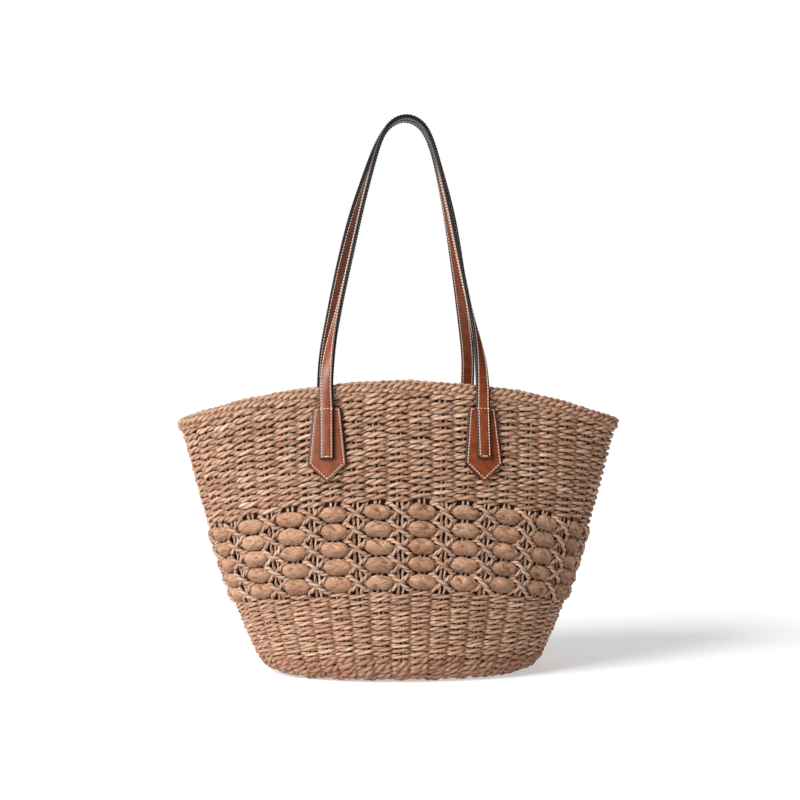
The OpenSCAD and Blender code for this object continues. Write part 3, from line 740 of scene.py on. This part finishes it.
def crossing_cords():
    mesh = Mesh()
    gap, row = np.meshgrid(np.arange(BUNDLES), np.arange(BAND_ROWS), indexing="ij")
    gap, row = gap.ravel()[:, None], row.ravel()[:, None]
    for route, thickness in ((OVER_CORD, 1.6 * MM), (UNDER_CORD, 1.45 * MM)):
        points = np.array(route)[None] * MM + rng.normal(0, 0.3 * MM, (gap.size, len(route), 3))
        path = smooth_path(points, 5)
        arc = arc_at(FIRST_ROW) + row * ROW_PITCH + path[..., 1]
        share = gap / BUNDLES + path[..., 0] / girth(0.45)
        centre, _, _, outward = skin(share, arc, path[..., 2])
        phase = -np.linspace(0, 4.5 * math.pi, path.shape[1])[None] + rng.uniform(0, 3, (gap.size, 1))
        tone = np.clip(0.42 + rng.normal(0, 0.1, gap.size), 0.1, 0.95)
        mesh.cords(centre, outward, thickness, SOFT_PLY, phase, (1.0, 0.8), tone=tone)
    names = [f"openwork_row_{row + 1}" for row in range(BAND_ROWS)]
    mesh.piece("crossing_cords", STAKE_STRAW, replaces=names, slot="straw")


def openwork_band():
    uprights()
    for row in range(BAND_ROWS):
        bundles(row)
    crossing_cords()


# ---- Lining ----

LINING_TOP = 0.946
HEM = 11 * MM


def wrinkles(share, arc):
    """Slack in the lining's cloth, which hangs from its hem."""
    fall = smooth(0, 30 * MM, arc) * (1 - smooth(0.2, 0.262, arc))
    wave = np.sin(2 * np.pi * (19 * share + 1.5 * arc / 0.1)) + 0.7 * np.sin(2 * np.pi * (31 * share - 2 * arc / 0.1))
    return -0.55 * MM * fall * (0.6 + 0.5 * wave)


def lining():
    top = LINING_TOP * HEIGHT - FOOT_RADIUS + EDGE_ARC
    arcs = np.concatenate([np.linspace(-95 * MM, 0, 26), np.linspace(3 * MM, top - HEM, 60)[:-1],
                           top - HEM + HEM * np.array([0, 0.06, 0.5, 0.9, 1.0])])
    inner = np.where(arcs > top - HEM + 0.1 * MM, -7.35 * MM, -6.6 * MM)
    inner[-1] += 0.4 * MM
    outer = np.full(len(arcs), -5.75 * MM)
    outer[-1] -= 0.4 * MM
    mesh = Mesh()
    mesh.hoop(480, np.concatenate([arcs, arcs[::-1]]), np.concatenate([inner, outer[::-1]]),
              ripple=lambda share, arc: wrinkles(share, arc))
    cloth = mesh.piece("lining_cloth", LINING_FABRIC, replaces=["lining"], slot="lining_fabric")
    stitch_ring(top - HEM + 1.6 * MM, -7.5 * MM)
    return cloth


def stitch_ring(arc, out):
    mesh = Mesh()
    count = 300
    share = (np.arange(count)[:, None] + np.linspace(-0.36, 0.36, 6)[None]) / count
    lift = 0.25 * MM * (1 - abs(np.linspace(-1, 1, 6)) ** 3)[None]
    centre, _, _, outward = skin(share, arc, out - lift)
    mesh.cords(centre, outward, 0.32 * MM, ROUND)
    mesh.piece("lining_stitches", DARK_THREAD, replaces=["lining"], slot="thread")


def pocket_sag(turns, levels):
    """How far the pocket's free side hangs away from the lining."""
    return 1.6 * MM * np.cos((turns - np.pi) * 3) ** 2 * smooth(0.45, 0.8, levels)


def pocket():
    turns = np.pi + np.radians(np.linspace(-30, 30, 61))[:, None]
    levels = np.concatenate([np.linspace(0.425, 0.765, 30), [0.768, 0.785, 0.797, 0.8]])[None]
    hem = np.where(levels > 0.767, 0.5 * MM, 0)
    sag = pocket_sag(turns, levels)
    mesh = Mesh()
    rings = []
    for depth in (-8.0 * MM - sag - hem, -7.1 * MM - sag):
        points = turn_frame(*np.broadcast_arrays(turns, levels, depth))[0]
        rings.append(points)
    around = np.concatenate([rings[0], rings[1][:, ::-1]], axis=1)
    index = mesh.add_points(around, 0.0, 0.5, 1.0, 0.0)
    quads = np.stack([index[:-1], np.roll(index, -1, 1)[:-1], np.roll(index, -1, 1)[1:], index[1:]], -1)
    mesh.faces.append(quads.reshape(-1, 4))
    mesh.faces.append(index[:1, ::-1])
    mesh.faces.append(index[-1:])
    pocket_stitches()
    return mesh.piece("pocket_cloth", LINING_FABRIC, replaces=["inner_pocket"], slot="lining_fabric")


def pocket_stitches():
    """Sewing up the pocket's sides and along its bottom, and a second row along the hem of its mouth."""
    mesh = Mesh()
    low, high, wide = 0.437, 0.79, np.pi * 28.4 / 180
    routes = [[(-wide, high), (-wide, low), (wide, low), (wide, high)], [(-wide, 0.771), (wide, 0.771)]]
    for route in routes:
        corners = np.array(route) * (170 * MM, HEIGHT)
        lengths = np.concatenate([[0], np.cumsum(np.linalg.norm(np.diff(corners, axis=0), axis=1))])
        starts = np.arange(1 * MM, lengths[-1] - 3 * MM, 3.4 * MM)[:, None]
        places = starts + np.linspace(0, 2.3 * MM, 6)[None]
        turn = np.pi + np.interp(places, lengths, corners[:, 0]) / (170 * MM)
        level = np.interp(places, lengths, corners[:, 1]) / HEIGHT
        lift = 0.25 * MM * (1 - abs(np.linspace(-1, 1, 6)) ** 3)[None]
        hem = np.where(level > 0.769, 0.5 * MM, 0)
        centre, _, _, outward = turn_frame(turn, level, -8.1 * MM - pocket_sag(turn, level) - hem - lift)
        mesh.cords(centre, outward, 0.32 * MM, ROUND)
    mesh.piece("pocket_stitches", DARK_THREAD, replaces=["inner_pocket"], slot="thread")


def turned(name, material, place, axis, profile, node, slot):
    """A turned piece: profile holds heights along the axis and radii, in millimetres."""
    profile = np.array(profile) * MM
    count = 72
    angle = np.linspace(0, 2 * np.pi, count, endpoint=False)[None, None]
    side = unit(np.cross(axis, [0, 0, 1]))
    up = np.cross(axis, side)
    centre = (place + profile[:, :1] * axis)[None]
    radius = profile[None, :, 1:]
    mesh = Mesh()
    mesh.tubes(centre, np.broadcast_to(side, centre.shape), np.broadcast_to(up, centre.shape),
               radius * np.cos(angle), radius * np.sin(angle))
    mesh.piece(name, material, replaces=[node], slot=slot)


def snaps():
    """The two halves of a magnetic snap, facing each other across the mouth."""
    stud = [(0, 8.5), (0.1, 8.85), (0.5, 9), (1.5, 9), (1.9, 8.85), (2, 8.5), (2, 7.9), (1.75, 7.7), (1.75, 3.6),
            (1.8, 3.2), (2.1, 3), (3.4, 3), (3.8, 2.85), (4, 2.5), (4, 0.6)]
    socket = [(0, 8.5), (0.1, 8.85), (0.5, 9), (3, 9), (3.4, 8.85), (3.5, 8.5), (3.5, 7.9), (3.3, 7.7), (3.3, 4.6),
              (3.5, 4.4), (3.5, 3.9), (3.3, 3.5), (2.8, 3.3), (1.2, 3.3), (1, 3), (1, 0.6)]
    for name, turn, profile in (("snap_stud", 0.0, stud), ("snap_socket", np.pi, socket)):
        place, _, _, outward = turn_frame(turn, 0.9, -7.8 * MM)
        turned(f"{name}_metal", SNAP_METAL, place, -outward, profile, name, "snap_metal")


# ---- Leather ----

LEG_REACH = 77 * MM
TAB_TOP, TAB_TIP, STRAP_END, HANDLE_RIM = 0.918, 0.67, 0.747, 0.995
LAY_GAP = 0.3 * MM
TAB_THICKNESS = 2.5 * MM
STRAP_SEAT = 2 * LAY_GAP + TAB_THICKNESS
STRAP_HALF_WIDTH = 7 * MM
BACKING_THICKNESS = 1.6 * MM
STRAP_THICKNESS = 3.65 * MM
HANDLE_TOP = 571 * MM
HANDLE_SHIFT = 6 * MM
HALF_HANDLE_GAP = 7.4 * MM
ARCH_DIFFERENCE = 6.5 * MM
STITCH_MARGIN = 2.2 * MM
STITCH_PITCH = 3.1 * MM

# Shares of the rise, of the half spacing and of the lean, from the rim to the top of the handles
ARCH_SHARES = [(0.12, 0.965, 0.86), (0.28, 0.86, 0.68), (0.46, 0.735, 0.5), (0.64, 0.6, 0.33),
               (0.79, 0.465, 0.19), (0.89, 0.36, 0.09), (0.955, 0.255, 0.03), (0.988, 0.14, 0), (1, 0, 0)]


def leg_frame(level):
    """Place, direction down and normal of the front wall at the right leg of the handle."""
    level = np.asarray(level, float)
    step = 0.004

    def place(at):
        return turn_frame(np.arcsin(LEG_REACH / half_sizes(at)[0]), at)

    point, _, _, normal = place(level)
    return point, unit(place(level - step)[0] - place(level + step)[0]), normal


def handle_path(twist_length, twist_power, widening, steps=8):
    """Stations of the front strap's back face, from its left sewn end over the top to the right one:
    place, tangent and normal."""
    foot, _, foot_normal = leg_frame(TAB_TOP)
    rim, _, rim_normal = leg_frame(HANDLE_RIM)
    foot = foot + foot_normal * STRAP_SEAT
    rim = rim + rim_normal * (STRAP_SEAT + 0.4 * MM)
    rise = HANDLE_TOP - STRAP_THICKNESS - rim[2]

    def arch_point(share, side):
        wide = rim[0] * share[1] + widening * math.sin(math.pi * share[0])
        return np.array([side * wide + HANDLE_SHIFT * share[0],
                         -(HALF_HANDLE_GAP + (-rim[1] - HALF_HANDLE_GAP) * share[2]), rim[2] + rise * share[0]])

    mirror = np.array([-1, 1, 1])
    route = [foot * mirror, rim * mirror] + [arch_point(share, -1) for share in ARCH_SHARES]
    route += [arch_point(share, 1) for share in ARCH_SHARES[-2::-1]] + [rim, foot]
    path = smooth_path(np.array(route)[None], steps)[0]
    tangent = unit(np.gradient(path, axis=0))
    lengths = np.concatenate([[0], np.cumsum(np.linalg.norm(np.diff(path, axis=0), axis=1))])
    from_foot = np.minimum(lengths, lengths[-1] - lengths)[:, None]
    yaw = math.atan2(foot_normal[0], -foot_normal[1])
    twist = yaw + (math.pi / 2 - yaw) * (1 - np.exp(-((from_foot / twist_length) ** twist_power)))
    arch_normal = unit(np.cross(tangent, [0, 1, 0]))
    normal = np.cross(tangent, arch_normal) * np.cos(twist) + arch_normal * np.sin(twist)

    levels = np.linspace(TAB_TOP - 0.004, STRAP_END, 22)
    place, down, leg_normal = leg_frame(levels)
    place = place + leg_normal * STRAP_SEAT
    path = np.concatenate([(place * mirror)[::-1], path, place])
    tangent = np.concatenate([(-down * mirror)[::-1], tangent, down])
    normal = np.concatenate([(leg_normal * mirror)[::-1], normal, leg_normal])
    return path, tangent, normal


def resample(path, fields, spacing):
    """Puts stations at an even spacing along a path."""
    lengths = np.concatenate([[0], np.cumsum(np.linalg.norm(np.diff(path, axis=0), axis=1))])
    places = np.linspace(0, lengths[-1], max(2, round(lengths[-1] / spacing)) + 1)

    def at(values):
        return np.stack([np.interp(places, lengths, values[:, k]) for k in range(values.shape[1])], -1)

    return places, at(path), [unit(at(values)) for values in fields]


def leather_section(low, high, groove, crown):
    """A flat strip's outline: distance in from its nearest edge, which side, height, and how far the point is
    from the painted edge, anticlockwise from the lower left corner."""
    top = [(0.0, high - 0.85 * MM, 0.0), (0.25 * MM, high - 0.35 * MM, 0.0), (0.7 * MM, high - 0.1 * MM, 0.0),
           (1.1 * MM, high, 0.02), (1.3 * MM, high + 0.02 * MM, 0.8), (groove - 0.55 * MM, high + 0.04 * MM, 0.9),
           (groove - 0.2 * MM, high - 0.16 * MM, 0.75), (groove + 0.2 * MM, high - 0.16 * MM, 0.75),
           (groove + 0.6 * MM, high + 0.08 * MM, 1.0), (groove + 2.0 * MM, high + crown, 1.0)]
    bottom = [(0.6 * MM, low, 0.3), (0.15 * MM, low + 0.15 * MM, 0.0), (0.0, low + 0.5 * MM, 0.0)]
    points = [(inset, 1, height, paint) for inset, height, paint in bottom]
    points += [(inset, 1, height, paint) for inset, height, paint in top]
    points += [(inset, -1, height, paint) for inset, height, paint in reversed(top)]
    points += [(inset, -1, height, paint) for inset, height, paint in reversed(bottom)]
    return np.array(points)


def leather_strip(mesh, path, tangent, normal, half_width, section, lengths, mirror=(1, 1), bevel=0.5 * MM,
                  tone=0.5):
    """A strip with rounded and painted edges and ends. mirror turns it into one of its fellows."""
    count = len(path)
    ends = [0, 0.35 * bevel, bevel]
    places = np.interp(np.arange(count), np.arange(count), lengths)
    extra = np.concatenate([lengths[0] + np.array(ends), lengths[-1] - np.array(ends)])
    every = np.unique(np.concatenate([places[(places > bevel * 1.6) & (places < lengths[-1] - bevel * 1.6)], extra]))

    def at(values):
        return np.stack([np.interp(every, lengths, values[:, k]) for k in range(values.shape[1])], -1)

    path, tangent, normal = at(path), unit(at(tangent)), unit(at(normal))
    half = np.interp(every, lengths, np.broadcast_to(half_width, count))
    from_end = np.minimum(every - lengths[0], lengths[-1] - every)
    shrink = bevel * (1 - np.sqrt(np.clip(1 - (1 - np.clip(from_end / bevel, 0, 1)) ** 2, 0, 1)))
    side = unit(np.cross(normal, tangent))
    inset, sign, height, paint = section.T
    scale = np.minimum(1, half / (9 * MM))[:, None] if np.min(half) < 5 * MM else 1.0
    across = sign * np.maximum(half[:, None] - shrink[:, None] - inset * scale, 0.02 * MM)
    middle = (height.min() + height.max()) / 2
    over = middle + (height - middle) * (1 - 0.45 * shrink / bevel)[:, None]
    crease = np.minimum(paint, smooth(0.4 * bevel, 1.6 * bevel, from_end)[:, None])
    flip = np.array([mirror[0], mirror[1], 1.0])
    if mirror[0] * mirror[1] < 0:
        across, over, crease = across[:, ::-1], over[:, ::-1], crease[:, ::-1]
    fibre = np.stack([np.broadcast_to(every[:, None], across.shape), across, over], -1) / MM
    fibre = fibre + rng.uniform(0, 300, 3)
    tone = np.interp(every, lengths, np.broadcast_to(tone, count))[None, :, None]
    mesh.tubes((path * flip)[None], (side * flip)[None], (normal * flip)[None], across[None], over[None], False,
               fibre[None], tone, crease[None], 0.0)


def stitches(mesh, path, tangent, normal, across, height, lengths, places, mirror=(1, 1), turn=0.0, painted_shade=None):
    """Short threads at places along a path, each a little slanted and sunk at its ends. The last argument gives
    how black painted shade makes them at each point of the path."""
    def at(values, where):
        return np.stack([np.interp(where, lengths, values[:, k]) for k in range(values.shape[1])], -1)

    steps = np.array([-1.0, -0.75, 0.0, 0.75, 1.0])
    places = places + rng.normal(0, 0.06 * MM, len(places))
    point, along = at(path, places), unit(at(tangent, places))
    up = unit(at(normal, places))
    side = unit(np.cross(up, along))
    slant = np.full(len(places), turn) + rng.normal(0, 0.05, len(places)) + 0.1
    direction = along * np.cos(slant)[:, None] + side * np.sin(slant)[:, None]
    across = np.broadcast_to(across, len(places))
    middle = point + side * across[:, None]
    lift = height + 0.22 * MM - 0.42 * MM * abs(steps) ** 3
    centre = middle[:, None] + direction[:, None] * (steps * 1.0 * MM)[None, :, None]
    centre = centre + up[:, None] * lift[None, :, None]
    flip = np.array([mirror[0], mirror[1], 1.0])
    outward = np.broadcast_to((up * flip)[:, None], centre.shape)
    radius = np.broadcast_to(0.43 * MM * (1 - 0.3 * abs(steps) ** 4), centre.shape[:2])
    tone = np.clip(0.5 + rng.normal(0, 0.1, len(places)), 0, 1)
    # How black painted shade makes each stitch.
    stitch_shade = 0.0 if painted_shade is None else np.interp(places, lengths, painted_shade)[:, None]
    mesh.cords(centre * flip, outward, radius, THREAD_SECTION, np.linspace(0, 2.5, 5)[None], tone=tone, depth=stitch_shade)


def straps():
    sides = (("front", (70 * MM, 2, -ARCH_DIFFERENCE / 2), (1, 1)),
             ("back", (235 * MM, 4, ARCH_DIFFERENCE / 2), (1, -1)))
    bend_start, bend_end = (0, 0, 0.265), (0, 0, 0.295)
    outer_section = leather_section(BACKING_THICKNESS + 0.05 * MM, STRAP_THICKNESS, STITCH_MARGIN, 0.3 * MM)
    backing_section = leather_section(0.0, BACKING_THICKNESS, STITCH_MARGIN, 0.0)
    backing_section[:, 2] = BACKING_THICKNESS - backing_section[:, 2]
    backing_section = backing_section[::-1]
    for name, shape, mirror in sides:
        path, tangent, normal = handle_path(*shape)
        lengths, path, (tangent, normal) = resample(path, (tangent, normal), 3.0 * MM)
        # Tone 0.5 on the legs falling to 0 at the top of the arch, where painted shade blackens the leather and its
        # threads.
        arch_shade_tone = 0.5 * (1 - smooth(490 * MM, 530 * MM, path[:, 2]))
        ends = [f"{name}_left_strap_end", f"{name}_right_strap_end"]
        joint = ("basket", f"{name}_handle", bend_start, bend_end)
        outer, backing, sewing = Mesh(), Mesh(), Mesh()
        leather_strip(outer, path, tangent, normal, STRAP_HALF_WIDTH, outer_section, lengths, mirror, tone=arch_shade_tone)
        outer.piece(f"{name}_strap_leather", LEATHER, replaces=[f"{name}_strap"] + ends, slot="leather",
                    blend=joint)
        leather_strip(backing, path, tangent, normal, STRAP_HALF_WIDTH, backing_section, lengths, mirror,
                      tone=arch_shade_tone)
        backing.piece(f"{name}_strap_lining_leather", BACKING_LEATHER, replaces=[f"{name}_strap_backing"] + ends,
                      slot="backing_leather", blend=joint)
        row = np.arange(2.2 * MM, lengths[-1] - 2 * MM, STITCH_PITCH)
        edge = STRAP_HALF_WIDTH - STITCH_MARGIN
        free = row[(row > 56 * MM) & (row < lengths[-1] - 56 * MM)]
        for side in (-1, 1):
            stitches(sewing, path, tangent, normal, side * edge, STRAP_THICKNESS, lengths, row, mirror,
                     painted_shade=1 - 2 * arch_shade_tone)
            stitches(sewing, path, tangent, -normal, side * edge, 0.0, lengths, free, mirror, painted_shade=1 - 2 * arch_shade_tone)
        for place in (2.0 * MM, lengths[-1] - 2.0 * MM):
            end_row = np.linspace(-edge + 3.1 * MM, edge - 3.1 * MM, 3)
            stitches(sewing, path, tangent, normal, end_row, STRAP_THICKNESS, lengths, np.full(3, place), mirror,
                     math.pi / 2)
        sewing.piece(f"{name}_strap_stitches", THREAD, replaces=[f"{name}_strap"], slot="thread", blend=joint)


TAB_CORNER = 0.76
TAB_TOP_HALF = 14 * MM
TAB_CORNER_HALF = 19.5 * MM
TAB_MARGIN = 2.8 * MM


def tabs():
    section = leather_section(LAY_GAP, LAY_GAP + TAB_THICKNESS, TAB_MARGIN, 0.15 * MM)
    shares = np.concatenate([[0, 0.006, 0.014, 0.026, 0.04], np.linspace(0.06, TAB_CORNER - 0.02, 22),
                             [TAB_CORNER - 0.008, TAB_CORNER, TAB_CORNER + 0.008], np.linspace(0.785, 0.985, 16),
                             [0.994, 1.0]])
    straight = TAB_TOP_HALF + (TAB_CORNER_HALF - TAB_TOP_HALF) * shares / TAB_CORNER
    point = TAB_CORNER_HALF * (1 - shares) / (1 - TAB_CORNER) * 0.985 + 0.3 * MM
    half = -np.log(np.exp(-straight / (0.35 * MM)) + np.exp(-point / (0.35 * MM))) * 0.35 * MM
    shoulder = 3.2 * MM * (1 - np.sqrt(1 - np.clip(1 - shares / 0.043, 0, 1) ** 2))
    half = half - shoulder
    path, tangent, normal = leg_frame(TAB_TOP + (TAB_TIP - TAB_TOP) * shares)
    lengths = np.concatenate([[0], np.cumsum(np.linalg.norm(np.diff(path, axis=0), axis=1))])
    sewing = Mesh()
    nodes = []
    for name, mirror in (("front_right", (1, 1)), ("front_left", (-1, 1)), ("back_right", (1, -1)),
                         ("back_left", (-1, -1))):
        mesh = Mesh()
        leather_strip(mesh, path, tangent, normal, half, section, lengths, mirror)
        mesh.piece(f"{name}_tab_leather", LEATHER, replaces=[f"{name}_tab"], slot="leather")
        nodes.append(f"{name}_tab")
        corner = TAB_CORNER * lengths[-1]
        face = LAY_GAP + TAB_THICKNESS
        rows = np.arange(3.0 * MM, corner - 1 * MM, STITCH_PITCH)
        edge = np.interp(rows, lengths, half) - TAB_MARGIN
        tip_run = lengths[-1] - corner
        slope = math.atan2(TAB_CORNER_HALF, tip_run)
        reach = math.hypot(TAB_CORNER_HALF, tip_run)
        steps = np.arange(1.5 * MM, reach - 4.0 * MM, STITCH_PITCH) / reach
        tip_rows = corner + steps * tip_run
        tip_edge = TAB_CORNER_HALF * (1 - steps) - TAB_MARGIN / math.cos(slope)
        keep = tip_edge > 0.3 * MM
        for side in (-1, 1):
            stitches(sewing, path, tangent, normal, side * edge, face, lengths, rows, mirror,
                     side * 0.05)
            stitches(sewing, path, tangent, normal, side * tip_edge[keep], face, lengths, tip_rows[keep], mirror,
                     -side * slope)
        across = np.linspace(-5.2 * MM, 5.2 * MM, 4)
        stitches(sewing, path, tangent, normal, across, STRAP_SEAT + STRAP_THICKNESS + 0.1 * MM, lengths,
                 np.full(4, 2.4 * MM), mirror, math.pi / 2)
        for side in (-1, 1):
            stitches(sewing, path, tangent, normal, side * np.array([9.4 * MM]), face, lengths,
                     np.full(1, 2.4 * MM), mirror, math.pi / 2)
    sewing.piece("tab_thread", THREAD, replaces=["tab_stitches"], slot="thread")


# ---- Lights, camera and floor ----

VIEW_TURN = math.radians(-4)
VIEW_DISTANCE = 1.64
VIEW_HEIGHT = 0.277
FRAME_WIDTH = 0.8296
FRAME_SHIFT = 0.0


def studio():
    camera = bpy.data.objects.new("camera", bpy.data.cameras.new("camera"))
    back = Vector((math.sin(VIEW_TURN), -math.cos(VIEW_TURN), 0))
    camera.location = Vector((FRAME_SHIFT, 0, VIEW_HEIGHT)) + back * VIEW_DISTANCE
    camera.rotation_mode = "QUATERNION"
    camera.rotation_quaternion = (-back).to_track_quat("-Z", "Y")
    camera.data.sensor_width = 36
    camera.data.lens = 36 * VIEW_DISTANCE / FRAME_WIDTH
    bpy.context.scene.collection.objects.link(camera)
    bpy.context.scene.camera = camera

    sun = bpy.data.lights.new("key", "SUN")
    sun.energy = 4.3
    sun.angle = math.radians(32)
    sun_object = bpy.data.objects.new("key", sun)
    sun_object.rotation_mode = "QUATERNION"
    sun_object.rotation_quaternion = Vector((1.62, 1.15, -1.25)).to_track_quat("-Z", "Y")
    bpy.context.scene.collection.objects.link(sun_object)
    world = bpy.data.worlds.new("studio")
    world.use_nodes = True
    tree = world.node_tree
    place = tree.nodes.new("ShaderNodeTexCoord")
    split = tree.nodes.new("ShaderNodeSeparateXYZ")
    tree.links.new(place.outputs["Generated"], split.inputs[0])
    fade = tree.nodes.new("ShaderNodeMapRange")
    tree.links.new(split.outputs["Z"], fade.inputs["Value"])
    fade.inputs["From Min"].default_value = 0.3
    fade.inputs["From Max"].default_value = 0.65
    fade.inputs["To Min"].default_value = 1.0
    fade.inputs["To Max"].default_value = 0.3
    dim = tree.nodes.new("ShaderNodeMapRange")
    tree.links.new(split.outputs["X"], dim.inputs["Value"])
    dim.inputs["From Min"].default_value = -0.2
    dim.inputs["From Max"].default_value = 0.6
    dim.inputs["To Min"].default_value = 1.0
    dim.inputs["To Max"].default_value = 0.05
    both = tree.nodes.new("ShaderNodeMath")
    both.operation = "MULTIPLY"
    tree.links.new(fade.outputs[0], both.inputs[0])
    tree.links.new(dim.outputs[0], both.inputs[1])
    seen = tree.nodes.new("ShaderNodeMath")
    seen.operation = "MAXIMUM"
    tree.links.new(both.outputs[0], seen.inputs[0])
    tree.links.new(tree.nodes.new("ShaderNodeLightPath").outputs["Is Camera Ray"], seen.inputs[1])
    tree.links.new(seen.outputs[0], tree.nodes["Background"].inputs["Strength"])
    tree.nodes["Background"].inputs["Color"].default_value = (1, 1, 1, 1)
    bpy.context.scene.world = world
    bpy.context.scene.view_settings.view_transform = "Standard"

    floor = bpy.data.meshes.new("floor")
    around = np.linspace(0, 2 * np.pi, 96, endpoint=False)
    rim_points = [(9 * math.cos(a), 9 * math.sin(a), -0.3 * MM) for a in around]
    floor.from_pydata(rim_points, [], [list(range(len(rim_points)))])
    s = Shader("floor", Roughness=0.8)
    s.surface.inputs["Emission Color"].default_value = (1, 1, 1, 1)
    s.surface.inputs["Emission Strength"].default_value = 0.46
    speckle = s.noise(s.node("TexCoord", output=3), 40.0, 3.0)
    floor.materials.append(s.finish(s.ramp(speckle, [(0.3, (0.66, 0.655, 0.65)), (0.7, (0.7, 0.695, 0.69))])))
    obj = bpy.data.objects.new("floor", floor)
    bpy.context.scene.collection.objects.link(obj)


studio()
upper_wall()
lower_wall()
base()
rim()
openwork_band()
lining_cloth = lining()
pocket_cloth = pocket()
snaps()
straps()
tabs()
